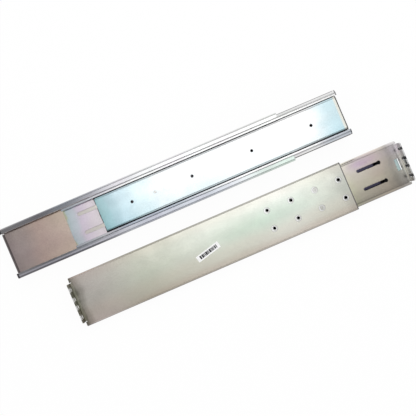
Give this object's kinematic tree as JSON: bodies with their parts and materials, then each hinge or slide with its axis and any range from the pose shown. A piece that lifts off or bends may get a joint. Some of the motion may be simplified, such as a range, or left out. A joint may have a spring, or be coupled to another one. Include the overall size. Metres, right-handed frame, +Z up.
{
  "type": "sliding server rail pair",
  "caption": "Pair of telescopic rails that bolt between rack posts and carry a server on ball-bearing inner rails, with an adjustable rear bracket.",
  "frame": {"origin": "bottom centre of the two rails as they lie side by side", "axes": "+X towards the front of the rack, +Y across from the turned-over rail to the other, +Z up"},
  "size_m": [0.6146, 0.1878, 0.0387],
  "materials": {
    "channel_zinc": "zinc plated, iridescent passivation",
    "bright_zinc": "zinc plated, blue-white passivation",
    "ball_steel": "polished",
    "spring_steel": "cold-rolled spring steel",
    "screw_zinc": "zinc plated",
    "black_nylon": "moulded"
  },
  "bodies": {
    "front_rails": {"front_rail_a": "channel_zinc", "front_rail_b": "channel_zinc", "slot_pegs_a": "black_nylon", "slot_pegs_b": "black_nylon"},
    "sleeve_a": {"rear_bracket_a": "channel_zinc", "clamp_screws_a": "screw_zinc", "clamp_washers_a": "screw_zinc", "clamp_nuts_a": "screw_zinc"},
    "chassis_a": {"chassis_rail_a": "bright_zinc", "latch_pad_a": "spring_steel", "latch_rivet_a": "bright_zinc"},
    "latch_a": {"latch_leaf_a": "spring_steel"},
    "retainer_upper_a": {"ball_retainer_upper_a": "bright_zinc", "balls_upper_a": "ball_steel"},
    "retainer_lower_a": {"ball_retainer_lower_a": "bright_zinc", "balls_lower_a": "ball_steel"},
    "sleeve_b": {"rear_bracket_b": "channel_zinc", "clamp_screws_b": "screw_zinc", "clamp_washers_b": "screw_zinc", "clamp_nuts_b": "screw_zinc"},
    "chassis_b": {"chassis_rail_b": "bright_zinc", "latch_pad_b": "spring_steel", "latch_rivet_b": "bright_zinc"},
    "latch_b": {"latch_leaf_b": "spring_steel"},
    "retainer_upper_b": {"ball_retainer_upper_b": "bright_zinc", "balls_upper_b": "ball_steel"},
    "retainer_lower_b": {"ball_retainer_lower_b": "bright_zinc", "balls_lower_b": "ball_steel"}
  },
  "joints": [
    {"name": "chassis_slide_a", "type": "slide", "parent": "front_rails", "child": "chassis_a", "axis": [1, 0, 0], "range_m": [0, 0.257]},
    {"name": "retainer_upper_slide_a", "type": "slide", "parent": "front_rails", "child": "retainer_upper_a", "axis": [1, 0, 0], "range_m": [0, 0.1285]},
    {"name": "retainer_lower_slide_a", "type": "slide", "parent": "front_rails", "child": "retainer_lower_a", "axis": [1, 0, 0], "range_m": [0, 0.1285]},
    {"name": "depth_adjust_a", "type": "slide", "parent": "front_rails", "child": "sleeve_a", "axis": [-1, 0, 0], "range_m": [-0.04535, 0.28415]},
    {"name": "latch_flex_a", "type": "hinge", "parent": "chassis_a", "child": "latch_a", "pos_m": [-0.0572, 0.05415, 0.0365], "axis": [0, -1, 0], "range_deg": [0, 6], "stiffness_Nm_per_rad": 1.5},
    {"name": "chassis_slide_b", "type": "slide", "parent": "front_rails", "child": "chassis_b", "axis": [1, 0, 0], "range_m": [0, 0.257]},
    {"name": "retainer_upper_slide_b", "type": "slide", "parent": "front_rails", "child": "retainer_upper_b", "axis": [1, 0, 0], "range_m": [0, 0.1285]},
    {"name": "retainer_lower_slide_b", "type": "slide", "parent": "front_rails", "child": "retainer_lower_b", "axis": [1, 0, 0], "range_m": [0, 0.1285]},
    {"name": "depth_adjust_b", "type": "slide", "parent": "front_rails", "child": "sleeve_b", "axis": [-1, 0, 0], "range_m": [-0.04165, 0.28785]},
    {"name": "latch_flex_b", "type": "hinge", "parent": "chassis_b", "child": "latch_b", "pos_m": [0.0028, -0.05415, 0.0022], "axis": [0, 1, 0], "range_deg": [0, 6], "stiffness_Nm_per_rad": 1.5}
  ],
  "couplings": [
    {"joint": "retainer_upper_slide_a", "follows": "chassis_slide_a", "ratio": 0.5},
    {"joint": "retainer_lower_slide_a", "follows": "chassis_slide_a", "ratio": 0.5},
    {"joint": "retainer_upper_slide_b", "follows": "chassis_slide_b", "ratio": 0.5},
    {"joint": "retainer_lower_slide_b", "follows": "chassis_slide_b", "ratio": 0.5}
  ]
}
